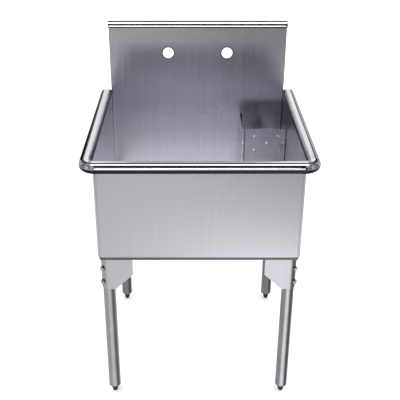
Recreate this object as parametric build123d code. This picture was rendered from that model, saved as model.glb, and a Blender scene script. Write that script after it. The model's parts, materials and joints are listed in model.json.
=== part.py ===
from build123d import *
import math
import os

# A free-standing utility laundry sink in stainless steel sheet.
# Millimetres, +Z up. The origin is on the floor, under the middle of the overall outline.
# -Y is the front, where a person stands, and +X is to that person's right.

# ---------------------------------------------------------------- driving dimensions
# bowl
bowl_width = 609.6          # left to right, over the wall sheets
bowl_length = 609.6         # front to rear, over the wall sheets
bowl_depth = 325.4          # rim top down to the underside of the floor
rim_height = 863.6          # floor of the room to the top of the rim
bowl_sheet = 1.5            # wall, floor and backsplash sheet
corner_radius = 11.0        # outside radius of the two front vertical corners
floor_bend = 7.5            # outside radius where the floor turns up into the walls
floor_turn_up = 4.0         # straight height of the floor's turned-up edge above its bend
corner_weld = 5.0           # radius of the ground weld in the two rear inside corners

# rolled rim
rim_overhang = 38.1         # outer wall face to the outermost point of the roll
rim_roll = 16.0             # outside radius of the roll
rim_bend = 12.0             # outside radius where the wall turns over into the rim
rim_lip = 5.0               # straight lip after the roll, under the rim
rim_run_past = 9.0          # how far the side rims run past the rear of the bowl
rim_cap_depth = 4.0
rim_cap_edge = 3.0          # rounding of the cap's outer edge

# backsplash
splash_rise = 240.4         # rim top to the top of the backsplash
splash_roll = 19.05         # outside radius of the roll along its top
splash_lip = 10.0           # straight lip behind the roll
splash_return = 25.0        # depth of the bent-back side edges
splash_edge_bend = 5.0
splash_cap_sheet = 2.2
splash_cap_edge = 1.2
tap_hole = 38.1             # diameter
tap_spacing = 203.2         # between the two hole centres
tap_rise = 133.5            # rim top to the hole centres

# leg brackets
bracket_sheet = 2.0
bracket_side_inset = 5.0    # bowl side to the bracket's outer face
bracket_end_inset = 12.7    # bowl front or rear to the bracket's outer face
bracket_reach = 98.5        # outer corner to the inner edge of each plate
bracket_height = 117.6
bracket_edge = 65.0         # height of the inner edge before the slanted cut
bracket_foot = 44.0         # width left at the bottom after the slanted cut
bracket_flange = 20.0       # width of the flange that is welded under the bowl

# legs and feet
leg_diameter = 38.1
leg_wall = 1.65
leg_fit = 0.1               # between the tube and the bracket's bend
leg_end = 30.0              # lower end of the tube above the floor
socket_shoulder = 10.0      # height of the socket below the tube
socket_land = 2.5           # straight part of it, before the cone
socket_nose = 23.0          # diameter at the lower end of the cone
socket_plug = 30.0          # length of the plug inside the tube
socket_fit = 0.05           # between the plug and the tube
foot_diameter = 20.0
foot_tip = 13.0             # diameter where the foot meets the floor
foot_taper = 12.0           # height of the tapered part
foot_gap = 0.3              # foot to socket when it is screwed right in
stud_diameter = 12.0
stud_fit = 0.05             # radial, between the stud and its bore
stud_length = 38.0

# bracket fasteners
bolt_diameter = 8.0
bolt_hole_fit = 0.25        # radial
bolt_first = 45.0           # underside of the bowl to the upper bolt
bolt_pitch = 47.5
bolt_head_flats = 13.0
bolt_head_height = 5.3
bolt_past_nut = 1.5
washer_diameter = 16.0
washer_sheet = 1.6
nut_height = 6.5
nut_fit = 0.1

# corner guard
guard_width = 152.4         # outer face to the wall, both ways
guard_below_rim = 88.9
guard_sheet = 1.2
guard_bend = 10.0           # outside radius of the upright bend
guard_return = 10.0         # inward flange along each wall
guard_return_bend = 2.6
guard_wall_gap = 0.5
guard_floor_gap = 0.3
guard_notch = 8.0           # corners cut away where the floor turns up into the walls
guard_hole = 6.4            # diameter
guard_hole_pitch = 41.3     # between columns
guard_hole_first = 26.0     # wall to the first column
guard_row_pitch = 50.8      # between holes of one column
guard_row_first = 25.4      # top edge to the first row
guard_slot_length = 14.0    # slot by each upright edge
guard_slot_height = 2.4

# drain
drain_offset = 76.0         # both walls to the drain's centre
drain_flange = 80.0         # diameter
drain_flange_sheet = 2.0
drain_neck = 60.0           # outside diameter where it passes the floor
drain_hole_fit = 1.0        # radial
drain_wall = 2.0
drain_neck_depth = 24.0     # floor to the end of the neck's thread
drain_ledge_depth = 48.0    # floor down to the ledge that the standpipe sits on
drain_outlet = 48.0         # outside diameter of the outlet
drain_outlet_length = 18.0
drain_throat = 38.7         # inside diameter of the outlet
gasket_thickness = 3.0
gasket_width = 9.0
friction_thickness = 1.2
locknut_height = 10.0
locknut_width = 8.0
locknut_lugs = 6
locknut_lug_reach = 5.0
locknut_lug_width = 12.0
thread_fit = 0.05           # radial, in every threaded joint of the drain
tailpiece_diameter = 38.1
tailpiece_wall = 1.2
tailpiece_length = 110.0
tailpiece_flange = 45.0     # diameter
tailpiece_flange_sheet = 1.6
tailpiece_flare = 0.2       # radial, where the tube opens into its flange
tailpiece_flare_height = 3.0
cone_washer_thickness = 2.0
slip_nut_flats = 60.0
slip_nut_skirt = 12.0       # length of its thread over the outlet
slip_nut_lip = 2.5
slip_nut_bore_fit = 0.4     # radial, round the tailpiece

# standpipe
pipe_diameter = 31.8
pipe_wall = 1.4
pipe_below_rim = 140.0      # rim top to the overflow edge
pipe_plug_fit = 0.35        # radial, plug to throat
pipe_plug_length = 14.0     # part inside the throat
pipe_collar = 44.0          # diameter
pipe_collar_height = 6.0
pipe_seat_gap = 0.3
pipe_slot_width = 8.0
pipe_slot_depth = 12.0
seal_section = 3.6          # diameter of the seal ring's round section
seal_gap = 0.05             # radial, seal ring to throat
seal_groove_fit = 0.05

# ---------------------------------------------------------------- places worked out from them
overall_length = rim_overhang + bowl_length - bowl_sheet + 2 * splash_roll
front_y = rim_overhang - overall_length / 2      # outer face of the front wall
rear_y = front_y + bowl_length                   # rear face of the rear wall
splash_y = rear_y - bowl_sheet                   # front face of the rear wall and backsplash
side_x = bowl_width / 2                          # outer face of a side wall
inner_x = side_x - bowl_sheet
underside_z = rim_height - bowl_depth
floor_z = underside_z + bowl_sheet               # where water stands
turn_up_z = underside_z + floor_bend + floor_turn_up
rim_start_z = rim_height - rim_bend
splash_top_z = rim_height + splash_rise
splash_bend_z = splash_top_z - splash_roll

bracket_bend = leg_diameter / 2 + leg_fit + bracket_sheet
leg_x = side_x - bracket_side_inset - bracket_bend
leg_y = front_y + bracket_end_inset + bracket_bend
leg_inner = leg_diameter / 2 - leg_wall
bracket_top_z = underside_z
bracket_bottom_z = underside_z - bracket_height
leg_top_z = bracket_top_z - bracket_sheet
bolt_levels = [underside_z - bolt_first, underside_z - bolt_first - bolt_pitch]

guard_x = inner_x - guard_width
guard_y = splash_y - guard_width
guard_top_z = rim_height - guard_below_rim
guard_bottom_z = floor_z + guard_floor_gap
guard_flat = guard_width - guard_bend - guard_hole_first - guard_hole
guard_columns = int(guard_flat / guard_hole_pitch) + 1
guard_tall = guard_top_z - guard_bottom_z - 2 * guard_row_first - guard_row_pitch / 2
guard_rows = int(guard_tall / guard_row_pitch) + 1

drain_x = inner_x - drain_offset
drain_y = splash_y - drain_offset
drain_ledge_z = floor_z - drain_ledge_depth
drain_end_z = drain_ledge_z - drain_outlet_length
gasket_bottom_z = underside_z - gasket_thickness
locknut_top_z = gasket_bottom_z - friction_thickness
tailpiece_top_z = drain_end_z - cone_washer_thickness

pipe_seat_z = drain_ledge_z + pipe_seat_gap
pipe_top_z = rim_height - pipe_below_rim
plug_bottom_z = drain_ledge_z - pipe_plug_length
seal_z = (plug_bottom_z + pipe_seat_z) / 2
seal_radius = drain_throat / 2 - seal_gap - seal_section / 2


# ---------------------------------------------------------------- helpers
def bent_sheet(points, radii, thickness):
    """Section of a bent sheet: the shown face follows points, the metal lies to its right."""
    path = FilletPolyline(*points, radius=radii)
    return make_face(offset(path, amount=thickness, side=Side.RIGHT))


def turned(points):
    """Solid of revolution about Z from an outline of (radius, height) pairs."""
    return revolve(Plane.XZ * make_face(Polyline(*points, close=True)), Axis.Z)


def ring(outer, inner, bottom, height):
    return Pos(0, 0, bottom) * extrude(Circle(outer) - Circle(inner), height)


def block(x0, x1, y0, y1, z0, z1):
    """Box between two corners."""
    centre = Pos((x0 + x1) / 2, (y0 + y1) / 2, (z0 + z1) / 2)
    return centre * Box(x1 - x0, y1 - y0, z1 - z0)


def left_of(part):
    return mirror(part, about=Plane.YZ)


def rear_of(part):
    """The same part at the other end of the bowl."""
    return mirror(part, about=Plane.XZ.offset(-(front_y + rear_y) / 2))


def one_solid(part):
    solids = part.solids()
    assert len(solids) == 1, len(solids)
    return solids[0]


# ---------------------------------------------------------------- walls and rolled rim
def rim_section(start_z, radial=0.0):
    """Wall and rolled rim, outwards from the outer wall face, from start_z upwards."""
    inner = radial - bowl_sheet
    outer = radial + rim_overhang
    under = rim_height - 2 * rim_roll
    path = Line((inner, start_z), (inner, rim_start_z)) if start_z < rim_start_z else None
    bend = CenterArc((inner + rim_bend, rim_start_z), rim_bend, 180, -90)
    top = Line(bend @ 1, (outer - rim_roll, rim_height))
    roll = CenterArc((outer - rim_roll, rim_height - rim_roll), rim_roll, 90, -180)
    lip = Line(roll @ 1, (outer - rim_roll - rim_lip, under))
    edges = [edge for edge in (path, bend, top, roll, lip) if edge is not None]
    return make_face(offset(Wire([e.edge() for e in edges]), amount=bowl_sheet, side=Side.RIGHT))


def front_wall():
    corner = (side_x - corner_radius, front_y + corner_radius)
    sketch_plane = Plane((corner[0], front_y, 0), x_dir=(0, -1, 0), z_dir=(-1, 0, 0))
    wall = extrude(sketch_plane * rim_section(turn_up_z), 2 * corner[0])
    post_plane = Plane((corner[0], corner[1], 0), x_dir=(0, -1, 0), z_dir=(-1, 0, 0))
    post_height = rim_start_z - turn_up_z
    post = Rectangle(bowl_sheet, post_height)
    post = Pos(corner_radius - bowl_sheet / 2, turn_up_z + post_height / 2) * post
    post = revolve(post_plane * post, Axis((corner[0], corner[1], 0), (0, 0, 1)), 90)
    return one_solid(wall + post + left_of(post))


def right_rim_corner():
    corner = (side_x - corner_radius, front_y + corner_radius)
    plane = Plane((corner[0], corner[1], 0), x_dir=(0, -1, 0), z_dir=(-1, 0, 0))
    section = plane * rim_section(rim_start_z, corner_radius)
    return one_solid(revolve(section, Axis((corner[0], corner[1], 0), (0, 0, 1)), 90))


def right_wall():
    """Side sheet, with its rim running on past the rear wall."""
    start_y = front_y + corner_radius
    rim_end_y = rear_y + rim_run_past - rim_cap_depth
    plane = Plane((side_x, splash_y, 0), x_dir=(1, 0, 0), z_dir=(0, -1, 0))
    wall = extrude(plane * rim_section(turn_up_z), splash_y - start_y)
    end_plane = Plane((side_x, rim_end_y, 0), x_dir=(1, 0, 0), z_dir=(0, -1, 0))
    run_on = extrude(end_plane * rim_section(rim_start_z), rim_end_y - splash_y)
    run_on -= block(0, side_x, splash_y, rim_end_y + rim_roll, 0, splash_top_z)
    weld = Rectangle(corner_weld, corner_weld, align=(Align.MAX, Align.MAX))
    weld -= Pos(-corner_weld, -corner_weld) * Circle(corner_weld)
    weld = Pos(inner_x, splash_y, turn_up_z) * extrude(weld, rim_start_z - turn_up_z)
    return one_solid(wall + run_on + weld)


def right_rim_cap():
    """Rounded plug that closes the rear end of a side rim."""
    low_z = rim_height - 2 * rim_roll
    roll = CenterArc((rim_overhang - rim_roll, rim_height - rim_roll), rim_roll, 90, -180)
    edges = [
        Line((-rim_overhang, rim_height), roll @ 0),
        roll,
        Line(roll @ 1, (-rim_overhang, low_z)),
        Line((-rim_overhang, low_z), (-rim_overhang, rim_height)),
    ]
    plane = Plane((side_x, rear_y + rim_run_past, 0), x_dir=(1, 0, 0), z_dir=(0, -1, 0))
    cap = extrude(plane * make_face(Wire([e.edge() for e in edges])), rim_cap_depth)
    back = cap.faces().sort_by(Axis.Y)[-1]
    cap = fillet(back.edges().sort_by(Axis.X)[1:], rim_cap_edge)
    bend_x = rim_bend - bowl_sheet
    beside_bend = Pos(0, rim_start_z) * Rectangle(bend_x, rim_bend, align=(Align.MIN, Align.MIN))
    beside_bend -= Pos(bend_x, rim_start_z) * Circle(rim_bend)
    cap -= extrude(plane * beside_bend, rim_cap_depth)
    cap -= block(0, side_x, rear_y, rear_y + rim_run_past, low_z, rim_height)
    return one_solid(cap)


# ---------------------------------------------------------------- rear wall and backsplash
def rear_wall():
    """One sheet from the floor's turned-up edge to the roll along the top."""
    plane = Plane((side_x, splash_y, 0), x_dir=(0, 1, 0), z_dir=(1, 0, 0))
    roll = CenterArc((splash_roll, splash_bend_z), splash_roll, 180, -180)
    edges = [
        Line((0, turn_up_z), (0, splash_bend_z)),
        roll,
        Line(roll @ 1, (2 * splash_roll, splash_bend_z - splash_lip)),
    ]
    section = offset(Wire([e.edge() for e in edges]), amount=bowl_sheet, side=Side.RIGHT)
    sheet = extrude(plane * make_face(section), -bowl_width)
    edge_cut = Rectangle(splash_edge_bend, splash_edge_bend, align=(Align.MAX, Align.MIN))
    edge_cut -= Pos(-splash_edge_bend, splash_edge_bend) * Circle(splash_edge_bend)
    edge_cut = Pos(side_x, splash_y, rim_start_z) * extrude(edge_cut, splash_bend_z - rim_start_z)
    edge_path = [
        (side_x, splash_y + splash_return),
        (side_x, splash_y),
        (side_x - 2 * splash_edge_bend, splash_y),
    ]
    edge = bent_sheet(edge_path, splash_edge_bend, bowl_sheet)
    edge = Pos(0, 0, rim_start_z) * extrude(edge, splash_bend_z - rim_start_z)
    sheet = sheet - edge_cut - left_of(edge_cut) + edge + left_of(edge)
    for x in (-tap_spacing / 2, tap_spacing / 2):
        hole = Pos(x, splash_y, rim_height + tap_rise) * Rot(90, 0, 0)
        sheet -= hole * Cylinder(tap_hole / 2, 4 * bowl_sheet)
    return one_solid(sheet)


def right_splash_cap():
    """Plate that closes the right end of the backsplash's roll."""
    roll = CenterArc((splash_roll, splash_bend_z), splash_roll, 180, -180)
    low_z = splash_bend_z - splash_lip
    edges = [
        roll,
        Line(roll @ 1, (2 * splash_roll, low_z)),
        Line((2 * splash_roll, low_z), (splash_return, low_z)),
        Line((splash_return, low_z), (splash_return, splash_bend_z)),
        Line((splash_return, splash_bend_z), roll @ 0),
    ]
    plane = Plane((side_x, splash_y, 0), x_dir=(0, 1, 0), z_dir=(1, 0, 0))
    cap = extrude(plane * make_face(Wire([e.edge() for e in edges])), splash_cap_sheet)
    outer = cap.faces().sort_by(Axis.X)[-1]
    rounded = outer.edges().filter_by(GeomType.CIRCLE)
    return one_solid(fillet(rounded, splash_cap_edge))


# ---------------------------------------------------------------- floor
def bowl_floor():
    """Shallow pan with the drain hole; its edges turn up to meet the walls."""
    middle_y = (front_y + rear_y) / 2

    def pan(inset, bottom_z, bend):
        half_x = side_x - inset
        half_y = bowl_length / 2 - inset
        body = block(-half_x, half_x, middle_y - half_y, middle_y + half_y, bottom_z, turn_up_z)
        uprights = body.edges().filter_by(Axis.Z).group_by(Axis.Y)[0]
        body = fillet(uprights, corner_radius - inset)
        return fillet(body.faces().sort_by(Axis.Z)[0].edges(), bend)

    body = pan(0, underside_z, floor_bend) - pan(bowl_sheet, floor_z, floor_bend - bowl_sheet)
    hole = Cylinder(drain_neck / 2 + drain_hole_fit, 4 * bowl_sheet)
    return one_solid(body - Pos(drain_x, drain_y, floor_z) * hole)


# ---------------------------------------------------------------- leg brackets, legs and feet
def front_right_bracket():
    """Plates bent round the leg, with slanted inner corners and a flange under the bowl."""
    outer_x = side_x - bracket_side_inset
    outer_y = front_y + bracket_end_inset
    inner_edge_x = outer_x - bracket_reach
    inner_edge_y = outer_y + bracket_reach
    corners = [(outer_x, inner_edge_y), (outer_x, outer_y), (inner_edge_x, outer_y)]
    plates = bent_sheet(corners, bracket_bend, bracket_sheet)
    bracket = Pos(0, 0, bracket_bottom_z) * extrude(plates, bracket_height)
    flange = block(inner_edge_x, outer_x, outer_y, inner_edge_y, leg_top_z, bracket_top_z)
    outer_edge = flange.edges().filter_by(Axis.Z).group_by(Axis.X)[-1].sort_by(Axis.Y)[0]
    flange = fillet(outer_edge, bracket_bend)
    flange -= block(
        inner_edge_x,
        outer_x - bracket_flange,
        outer_y + bracket_flange,
        inner_edge_y,
        leg_top_z,
        bracket_top_z,
    )
    bracket += flange
    slant_points = [
        (0, bracket_bottom_z),
        (bracket_reach - bracket_foot, bracket_bottom_z),
        (0, bracket_top_z - bracket_edge),
    ]
    slant = make_face(Polyline(*slant_points, close=True))
    front_plane = Plane((inner_edge_x, outer_y, 0), x_dir=(1, 0, 0), z_dir=(0, -1, 0))
    side_plane = Plane((outer_x, inner_edge_y, 0), x_dir=(0, -1, 0), z_dir=(-1, 0, 0))
    bracket -= extrude(front_plane * slant, -bracket_sheet)
    bracket -= extrude(side_plane * slant, bracket_sheet)
    for bore in bolt_bores(0, 2 * bracket_bend):
        bracket -= bore
    return one_solid(bracket)


def diagonal(distance, level):
    """Place on the line that leaves the front right leg outwards at 45 degrees."""
    out = math.sqrt(0.5)
    origin = (leg_x + out * distance, leg_y - out * distance, level)
    return Plane(origin, x_dir=(0, 0, 1), z_dir=(out, -out, 0)).location


def bolt_bores(start, end):
    radius = bolt_diameter / 2 + bolt_hole_fit
    return [diagonal((start + end) / 2, z) * Cylinder(radius, end - start) for z in bolt_levels]


def front_right_leg():
    tube = Pos(leg_x, leg_y, 0) * ring(leg_diameter / 2, leg_inner, leg_end, leg_top_z - leg_end)
    for bore in bolt_bores(0, 2 * bracket_bend):
        tube -= bore
    return one_solid(tube)


def front_right_socket():
    """Plug inside the tube, with a coned shoulder below it and a threaded bore."""
    bore = stud_diameter / 2 + stud_fit
    plug = leg_inner - socket_fit
    low_z = leg_end - socket_shoulder
    outline = [
        (bore, low_z),
        (socket_nose / 2, low_z),
        (leg_diameter / 2, leg_end - socket_land),
        (leg_diameter / 2, leg_end),
        (plug, leg_end),
        (plug, leg_end + socket_plug),
        (bore, leg_end + socket_plug),
    ]
    return Pos(leg_x, leg_y, 0) * one_solid(turned(outline))


def front_right_foot():
    """Tapered foot on its stud, screwed right in."""
    top_z = leg_end - socket_shoulder - foot_gap
    stud = stud_diameter / 2
    outline = [
        (0, 0),
        (foot_tip / 2, 0),
        (foot_diameter / 2, foot_taper),
        (foot_diameter / 2, top_z),
        (stud, top_z),
        (stud, top_z + stud_length),
        (0, top_z + stud_length),
    ]
    return Pos(leg_x, leg_y, 0) * one_solid(turned(outline))


def hexagon(flats):
    return RegularPolygon(flats / 2, 6, major_radius=False)


def front_right_fasteners():
    """Bolts, washers and nuts of one bracket, as three lists."""
    nut_corner = bolt_head_flats / math.sqrt(3)
    nut_outer = math.sqrt(leg_inner ** 2 - nut_corner ** 2) - nut_fit
    nut_start = nut_outer - nut_height
    shank_start = nut_start - bolt_past_nut
    head_start = bracket_bend + washer_sheet
    bolts = []
    washers = []
    nuts = []
    for level in bolt_levels:
        head = diagonal(head_start, level) * extrude(hexagon(bolt_head_flats), bolt_head_height)
        shank = extrude(Circle(bolt_diameter / 2), head_start - shank_start)
        bolts.append(one_solid(head + diagonal(shank_start, level) * shank))
        hole = Circle(bolt_diameter / 2 + bolt_hole_fit)
        washer = extrude(Circle(washer_diameter / 2) - hole, washer_sheet)
        washers.append(one_solid(diagonal(bracket_bend, level) * washer))
        nut = extrude(hexagon(bolt_head_flats) - Circle(bolt_diameter / 2), nut_height)
        nuts.append(one_solid(diagonal(nut_start, level) * nut))
    return bolts, washers, nuts


# ---------------------------------------------------------------- corner guard
def corner_guard():
    """Perforated sheet that fences off the drain corner; loose, and open above and below."""
    wall_x = inner_x - guard_wall_gap
    wall_y = splash_y - guard_wall_gap
    path = [
        (wall_x, guard_y + guard_return),
        (wall_x, guard_y),
        (guard_x, guard_y),
        (guard_x, wall_y),
        (guard_x + guard_return, wall_y),
    ]
    section = bent_sheet(path, [guard_return_bend, guard_bend, guard_return_bend], guard_sheet)
    guard = Pos(0, 0, guard_bottom_z) * extrude(section, guard_top_z - guard_bottom_z)
    notch_top_z = guard_bottom_z + guard_notch
    guard -= block(inner_x - guard_notch, inner_x, guard_y, splash_y, guard_bottom_z, notch_top_z)
    guard -= block(guard_x, inner_x, splash_y - guard_notch, splash_y, guard_bottom_z, notch_top_z)
    drill = Cylinder(guard_hole / 2, 4 * guard_bend)
    first_row = guard_top_z - guard_row_first
    for row in range(guard_rows):
        for column in range(guard_columns):
            level = first_row - (row + column % 2 / 2) * guard_row_pitch
            along = guard_hole_first + column * guard_hole_pitch
            guard -= Pos(inner_x - along, guard_y, level) * Rot(90, 0, 0) * drill
            guard -= Pos(guard_x, splash_y - along, level) * Rot(0, 90, 0) * drill
        level = first_row - (row + guard_columns % 2 / 2) * guard_row_pitch
        bend_middle = guard_bend * (1 - math.sqrt(0.5))
        place = Pos(guard_x + bend_middle, guard_y + bend_middle, level) * Rot(0, 0, 45)
        guard -= place * Rot(0, 90, 0) * drill
    slot_level = first_row - guard_row_pitch / 2
    slot_at = guard_return_bend + guard_slot_length / 2
    slot = Box(guard_slot_length, 4 * guard_sheet, guard_slot_height)
    guard -= Pos(wall_x - slot_at, guard_y, slot_level) * slot
    guard -= Pos(guard_x, wall_y - slot_at, slot_level) * Rot(0, 0, 90) * slot
    return one_solid(guard)


# ---------------------------------------------------------------- drain
def drain_body():
    """Flanged cup with a ledge and a throat that the standpipe plugs into."""
    neck = drain_neck / 2
    flange = drain_flange / 2
    neck_end_z = floor_z - drain_neck_depth
    flange_top_z = floor_z + drain_flange_sheet
    seat_outer = pipe_collar / 2 + 2 * pipe_plug_fit
    outline = [
        (drain_throat / 2, drain_end_z),
        (drain_outlet / 2, drain_end_z),
        (drain_outlet / 2, drain_ledge_z - drain_wall),
        (neck, neck_end_z),
        (neck, floor_z),
        (flange, floor_z),
        (flange, floor_z + drain_flange_sheet / 2),
        (flange - drain_flange_sheet, flange_top_z),
        (neck - drain_wall, flange_top_z),
        (neck - drain_wall, neck_end_z),
        (seat_outer, drain_ledge_z),
        (drain_throat / 2, drain_ledge_z),
    ]
    return one_solid(turned(outline))


def drain_gasket():
    inner = drain_neck / 2 + drain_hole_fit
    return one_solid(ring(inner + gasket_width, inner, gasket_bottom_z, gasket_thickness))


def drain_friction_washer():
    inner = drain_neck / 2 + drain_hole_fit
    return one_solid(ring(inner + gasket_width, inner, locknut_top_z, friction_thickness))


def drain_locknut():
    inner = drain_neck / 2 + thread_fit
    outer = inner + locknut_width
    bottom = locknut_top_z - locknut_height
    nut = ring(outer, inner, bottom, locknut_height)
    lug_span = locknut_lug_reach + locknut_width / 2
    lug = Box(lug_span, locknut_lug_width, locknut_height)
    for place in PolarLocations(outer + locknut_lug_reach - lug_span / 2, locknut_lugs):
        nut += Pos(0, 0, bottom + locknut_height / 2) * place * lug
    return one_solid(nut)


def tailpiece():
    outer = tailpiece_diameter / 2
    inner = outer - tailpiece_wall
    low_z = tailpiece_top_z - tailpiece_length
    flange_low_z = tailpiece_top_z - tailpiece_flange_sheet
    outline = [
        (inner, low_z),
        (outer, low_z),
        (outer, flange_low_z - tailpiece_flare_height),
        (outer + tailpiece_flare, flange_low_z),
        (tailpiece_flange / 2, flange_low_z),
        (tailpiece_flange / 2, tailpiece_top_z),
        (inner, tailpiece_top_z),
    ]
    return one_solid(turned(outline))


def tailpiece_washer():
    inner = drain_throat / 2
    washer = ring(tailpiece_flange / 2, inner, tailpiece_top_z, cone_washer_thickness)
    return one_solid(washer)


def slip_nut():
    """Hexagonal nut on the outlet's thread; its lip holds the tailpiece's flange up."""
    lip_top_z = tailpiece_top_z - tailpiece_flange_sheet
    bottom = lip_top_z - slip_nut_lip
    height = drain_end_z + slip_nut_skirt - bottom
    nut = Pos(0, 0, bottom) * extrude(hexagon(slip_nut_flats), height)
    bore = tailpiece_diameter / 2 + slip_nut_bore_fit
    nut -= Pos(0, 0, bottom) * extrude(Circle(bore), height)
    thread = drain_outlet / 2 + thread_fit
    nut -= Pos(0, 0, lip_top_z) * extrude(Circle(thread), height)
    return one_solid(nut)


# ---------------------------------------------------------------- standpipe
def seal_ring():
    return Pos(0, 0, seal_z) * Torus(seal_radius, seal_section / 2)


def standpipe():
    """Overflow tube whose plug closes the drain; notches in its top let water over the edge."""
    outer = pipe_diameter / 2
    inner = outer - pipe_wall
    plug = drain_throat / 2 - pipe_plug_fit
    collar = pipe_collar / 2
    groove = seal_radius - seal_section / 2 - seal_groove_fit
    groove_half = seal_section / 2 + seal_groove_fit
    collar_top_z = pipe_seat_z + pipe_collar_height
    outline = [
        (inner, plug_bottom_z),
        (plug, plug_bottom_z),
        (plug, seal_z - groove_half),
        (groove, seal_z - groove_half),
        (groove, seal_z + groove_half),
        (plug, seal_z + groove_half),
        (plug, pipe_seat_z),
        (collar, pipe_seat_z),
        (collar, collar_top_z),
        (outer, collar_top_z + collar - outer),
        (outer, pipe_top_z),
        (inner, pipe_top_z),
    ]
    pipe = turned(outline)
    notch = Box(2 * pipe_diameter, pipe_slot_width, 2 * pipe_slot_depth)
    for angle in (0, 90):
        pipe -= Pos(0, 0, pipe_top_z) * Rot(0, 0, angle) * notch
    return one_solid(pipe)


# ---------------------------------------------------------------- all the pieces
def at_each_leg(name, part):
    """The four copies of a front right piece, under the names of their corners."""
    return {
        f"{name}_front_right": [part],
        f"{name}_front_left": [left_of(part)],
        f"{name}_rear_right": [rear_of(part)],
        f"{name}_rear_left": [left_of(rear_of(part))],
    }


def all_corners(solids):
    return [copy for solid in solids for group in at_each_leg("", solid).values() for copy in group]


def both_sides(solid):
    return [solid, left_of(solid)]


def in_drain_corner(solid):
    return [Pos(drain_x, drain_y, 0) * solid]


def build():
    side_wall = right_wall()
    rim_corner = right_rim_corner()
    bolts, washers, nuts = front_right_fasteners()
    return {
        "front_wall": [front_wall()],
        "right_wall": [side_wall],
        "left_wall": [left_of(side_wall)],
        "rear_wall_backsplash": [rear_wall()],
        "bowl_floor": [bowl_floor()],
        "rim_corner_right": [rim_corner],
        "rim_corner_left": [left_of(rim_corner)],
        "rim_end_caps": both_sides(right_rim_cap()),
        "backsplash_end_caps": both_sides(right_splash_cap()),
        **at_each_leg("leg_bracket", front_right_bracket()),
        **at_each_leg("leg_tube", front_right_leg()),
        **at_each_leg("foot_socket", front_right_socket()),
        **at_each_leg("levelling_foot", front_right_foot()),
        "bracket_bolts": all_corners(bolts),
        "bracket_washers": all_corners(washers),
        "bracket_nuts": all_corners(nuts),
        "corner_guard": [corner_guard()],
        "drain_body": in_drain_corner(drain_body()),
        "drain_gasket": in_drain_corner(drain_gasket()),
        "drain_friction_washer": in_drain_corner(drain_friction_washer()),
        "drain_locknut": in_drain_corner(drain_locknut()),
        "tailpiece": in_drain_corner(tailpiece()),
        "tailpiece_washer": in_drain_corner(tailpiece_washer()),
        "slip_nut": in_drain_corner(slip_nut()),
        "standpipe": in_drain_corner(standpipe()),
        "standpipe_seal": in_drain_corner(seal_ring()),
    }


os.makedirs("parts", exist_ok=True)
for node, solids in build().items():
    shape = solids[0] if len(solids) == 1 else Compound(children=solids)
    export_step(shape, f"parts/{node}.step")
    print(node, len(solids), "solid(s)")
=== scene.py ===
# %% [markdown]
# # A utility laundry sink in stainless steel
#
# The sink is a deep square bowl folded from sheet, with a rolled rim on three sides, a tall
# backsplash with two tap holes, a loose perforated guard round the drain, and four tube legs on
# bent brackets. Every solid piece comes in with the frame, at its real size and in metres. This
# lesson dresses it: a camera, a studio, the steel finishes, and the small details that a solid
# model leaves plain.

import json
from math import radians

import bmesh
import bpy
from mathutils import Matrix, Vector

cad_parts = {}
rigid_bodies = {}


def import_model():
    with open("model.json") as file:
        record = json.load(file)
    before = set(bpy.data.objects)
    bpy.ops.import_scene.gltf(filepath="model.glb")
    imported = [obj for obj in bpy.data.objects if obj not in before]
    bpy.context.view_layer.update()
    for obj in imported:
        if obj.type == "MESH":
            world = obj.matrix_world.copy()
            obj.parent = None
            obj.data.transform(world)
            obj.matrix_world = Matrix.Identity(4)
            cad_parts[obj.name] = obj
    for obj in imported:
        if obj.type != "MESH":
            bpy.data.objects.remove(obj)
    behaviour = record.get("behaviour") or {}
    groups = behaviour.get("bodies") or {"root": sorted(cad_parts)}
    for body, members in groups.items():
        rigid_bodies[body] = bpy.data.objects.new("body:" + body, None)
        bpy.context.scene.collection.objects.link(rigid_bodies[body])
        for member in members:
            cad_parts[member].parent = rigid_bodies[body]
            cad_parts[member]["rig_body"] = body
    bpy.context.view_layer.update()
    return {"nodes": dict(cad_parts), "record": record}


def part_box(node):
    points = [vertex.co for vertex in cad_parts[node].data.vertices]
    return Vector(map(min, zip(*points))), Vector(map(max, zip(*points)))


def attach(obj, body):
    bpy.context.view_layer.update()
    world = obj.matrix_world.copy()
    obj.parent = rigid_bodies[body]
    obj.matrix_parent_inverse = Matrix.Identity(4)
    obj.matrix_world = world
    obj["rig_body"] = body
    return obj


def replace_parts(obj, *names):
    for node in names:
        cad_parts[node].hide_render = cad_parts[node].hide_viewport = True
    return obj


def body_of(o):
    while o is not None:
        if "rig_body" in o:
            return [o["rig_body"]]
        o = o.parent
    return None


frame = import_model()
nodes = frame["nodes"]

# %% [markdown]
# ## Where the pieces are
#
# A few heights and faces are read back from the pieces themselves, so that a finish can change
# exactly where the metal bends. Reading them is better than typing them, because they follow the
# frame.

# %% Places read from the pieces
MM = 0.001
SHEET = 1.5 * MM           # thickness of the sheet steel
RIM_ROLL = 32 * MM         # height of the rolled rim
RIM_BEND = 12 * MM         # the walls start to turn over this far below the rim's top
SPLASH_ROLL = 19.05 * MM   # outside radius of the roll on top of the backsplash
GUARD_BEND = 10 * MM       # outside radius of the guard's upright bend

rim_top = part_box("front_wall")[1].z
bend_start = rim_top - RIM_BEND
bowl_low, bowl_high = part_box("bowl_floor")
splash_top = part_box("rear_wall_backsplash")[1].z
splash_bend = splash_top - SPLASH_ROLL
guard_low, guard_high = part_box("corner_guard")
wall_x, wall_y = bowl_high.x - SHEET, bowl_high.y - SHEET
print("rim top", round(rim_top, 4), "backsplash top", round(splash_top, 4))
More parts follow.
